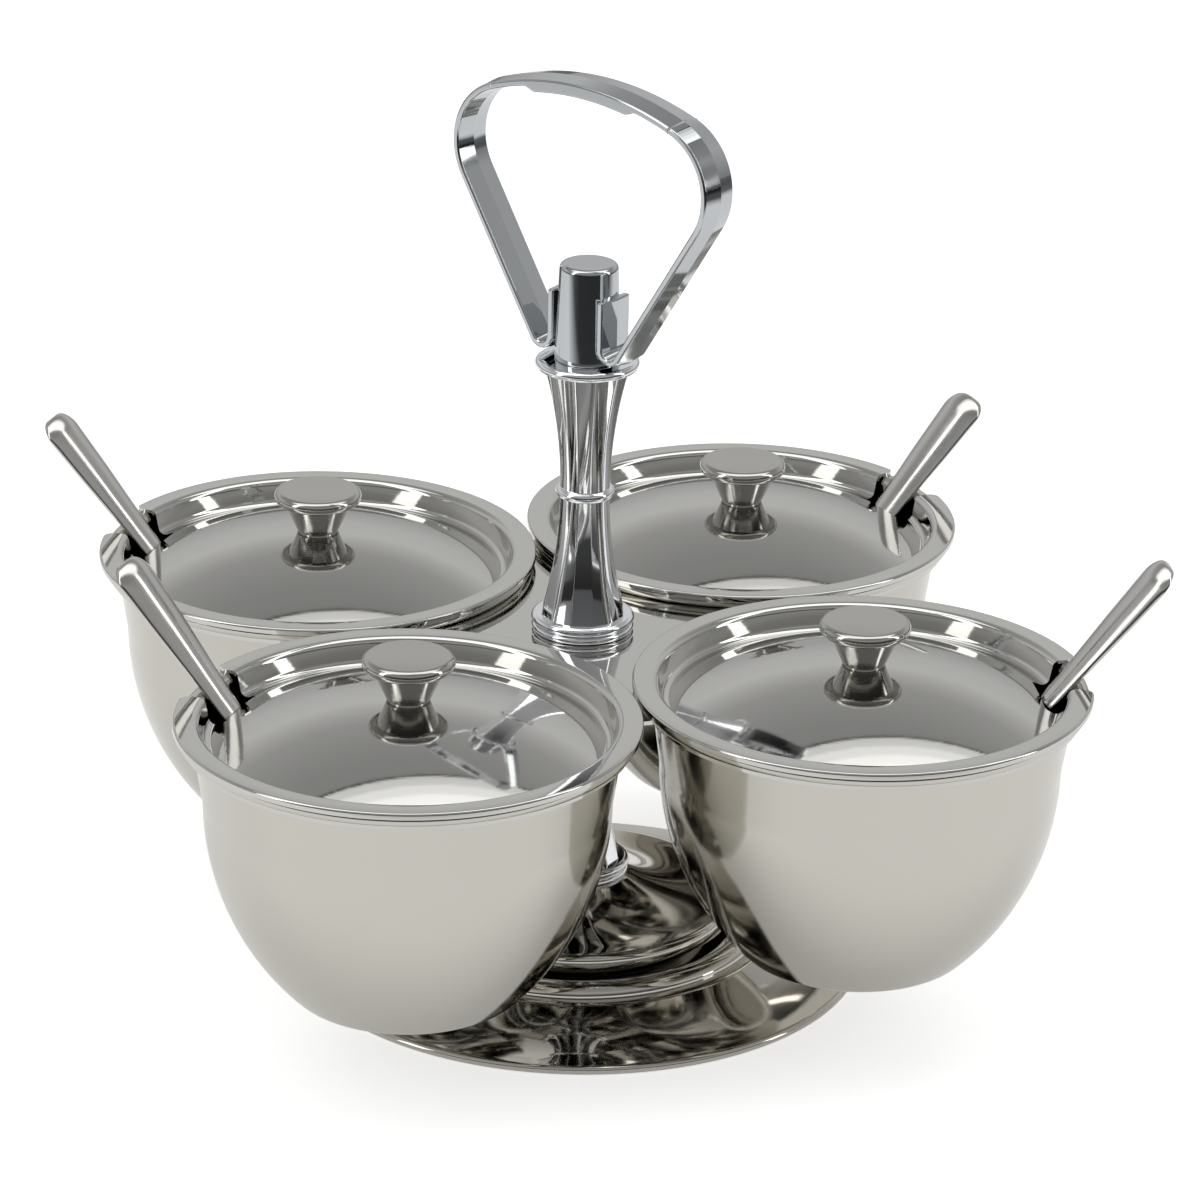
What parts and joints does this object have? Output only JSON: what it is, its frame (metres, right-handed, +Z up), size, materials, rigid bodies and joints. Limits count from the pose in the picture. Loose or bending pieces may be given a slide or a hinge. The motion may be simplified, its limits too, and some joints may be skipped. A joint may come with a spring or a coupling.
{
  "type": "relish server",
  "caption": "Revolving relish server: covered steel bowls with spoons hang in a carrier plate on a turntable base, below a column with a loop carrying handle.",
  "frame": {"origin": "on the table, under the middle of the round base", "axes": "+Z up along the turntable's axis, -Y towards the front of the picture, +X to its right"},
  "size_m": [0.2564, 0.2286, 0.2345],
  "materials": {
    "polished_steel": "mirror-polished stainless steel",
    "bowl_steel": "bright stainless steel, faintly satin outside",
    "knob_steel": "turned and polished stainless steel",
    "spoon_steel": "pressed stainless steel, soft polish",
    "chrome_plate": "bright chrome plating on plastic and die castings",
    "zinc_steel": "zinc-plated steel",
    "bearing_steel": "hard bright steel",
    "nylon": "natural nylon"
  },
  "bodies": {
    "base": {"base_pan": "polished_steel", "pivot_bush": "nylon", "lower_race": "bearing_steel", "bearing_balls": "bearing_steel", "ball_cage": "nylon"},
    "carousel": {"upper_race": "bearing_steel", "turning_dome": "polished_steel", "dome_collar": "chrome_plate", "pivot_rod": "zinc_steel", "rod_washer": "zinc_steel", "rod_nut": "zinc_steel", "post_lower_cone": "chrome_plate", "post_waist_ring": "chrome_plate", "post_upper_cone": "chrome_plate", "carrier_plate": "polished_steel", "column_foot_ring": "chrome_plate", "column_lower_cone": "chrome_plate", "column_waist_ring": "chrome_plate", "column_upper_cone": "chrome_plate", "handle": "chrome_plate"},
    "bowl_front_left": {"bowl_front_left": "bowl_steel"},
    "lid_front_left": {"lid_front_left": "polished_steel", "knob_front_left": "knob_steel", "knob_screw_front_left": "zinc_steel"},
    "spoon_front_left": {"spoon_front_left": "spoon_steel"},
    "bowl_front_right": {"bowl_front_right": "bowl_steel"},
    "lid_front_right": {"lid_front_right": "polished_steel", "knob_front_right": "knob_steel", "knob_screw_front_right": "zinc_steel"},
    "spoon_front_right": {"spoon_front_right": "spoon_steel"},
    "bowl_back_right": {"bowl_back_right": "bowl_steel"},
    "lid_back_right": {"lid_back_right": "polished_steel", "knob_back_right": "knob_steel", "knob_screw_back_right": "zinc_steel"},
    "spoon_back_right": {"spoon_back_right": "spoon_steel"},
    "bowl_back_left": {"bowl_back_left": "bowl_steel"},
    "lid_back_left": {"lid_back_left": "polished_steel", "knob_back_left": "knob_steel", "knob_screw_back_left": "zinc_steel"},
    "spoon_back_left": {"spoon_back_left": "spoon_steel"}
  },
  "joints": [
    {"name": "carousel_spin", "type": "hinge", "parent": "base", "child": "carousel", "pos_m": [0, 0, 0.0133], "axis": [0, 0, 1], "continuous": true},
    {"name": "bowl_front_left_lift", "type": "slide", "parent": "carousel", "child": "bowl_front_left", "axis": [0, 0, 1], "range_m": [0, 0.075]},
    {"name": "lid_front_left_lift", "type": "slide", "parent": "bowl_front_left", "child": "lid_front_left", "axis": [0, 0, 1], "range_m": [0, 0.08]},
    {"name": "spoon_front_left_slide", "type": "slide", "parent": "bowl_front_left", "child": "spoon_front_left", "axis": [-0.521, 0.3648, 0.7716], "range_m": [0, 0.03]},
    {"name": "bowl_front_right_lift", "type": "slide", "parent": "carousel", "child": "bowl_front_right", "axis": [0, 0, 1], "range_m": [0, 0.075]},
    {"name": "lid_front_right_lift", "type": "slide", "parent": "bowl_front_right", "child": "lid_front_right", "axis": [0, 0, 1], "range_m": [0, 0.08]},
    {"name": "spoon_front_right_slide", "type": "slide", "parent": "bowl_front_right", "child": "spoon_front_right", "axis": [0.6313, -0.0775, 0.7716], "range_m": [0, 0.03]},
    {"name": "bowl_back_right_lift", "type": "slide", "parent": "carousel", "child": "bowl_back_right", "axis": [0, 0, 1], "range_m": [0, 0.075]},
    {"name": "lid_back_right_lift", "type": "slide", "parent": "bowl_back_right", "child": "lid_back_right", "axis": [0, 0, 1], "range_m": [0, 0.08]},
    {"name": "spoon_back_right_slide", "type": "slide", "parent": "bowl_back_right", "child": "spoon_back_right", "axis": [0.6643, 0.2031, 0.7193], "range_m": [0, 0.03]},
    {"name": "bowl_back_left_lift", "type": "slide", "parent": "carousel", "child": "bowl_back_left", "axis": [0, 0, 1], "range_m": [0, 0.075]},
    {"name": "lid_back_left_lift", "type": "slide", "parent": "bowl_back_left", "child": "lid_back_left", "axis": [0, 0, 1], "range_m": [0, 0.08]},
    {"name": "spoon_back_left_slide", "type": "slide", "parent": "bowl_back_left", "child": "spoon_back_left", "axis": [-0.5564, 0.3477, 0.7547], "range_m": [0, 0.03]}
  ]
}
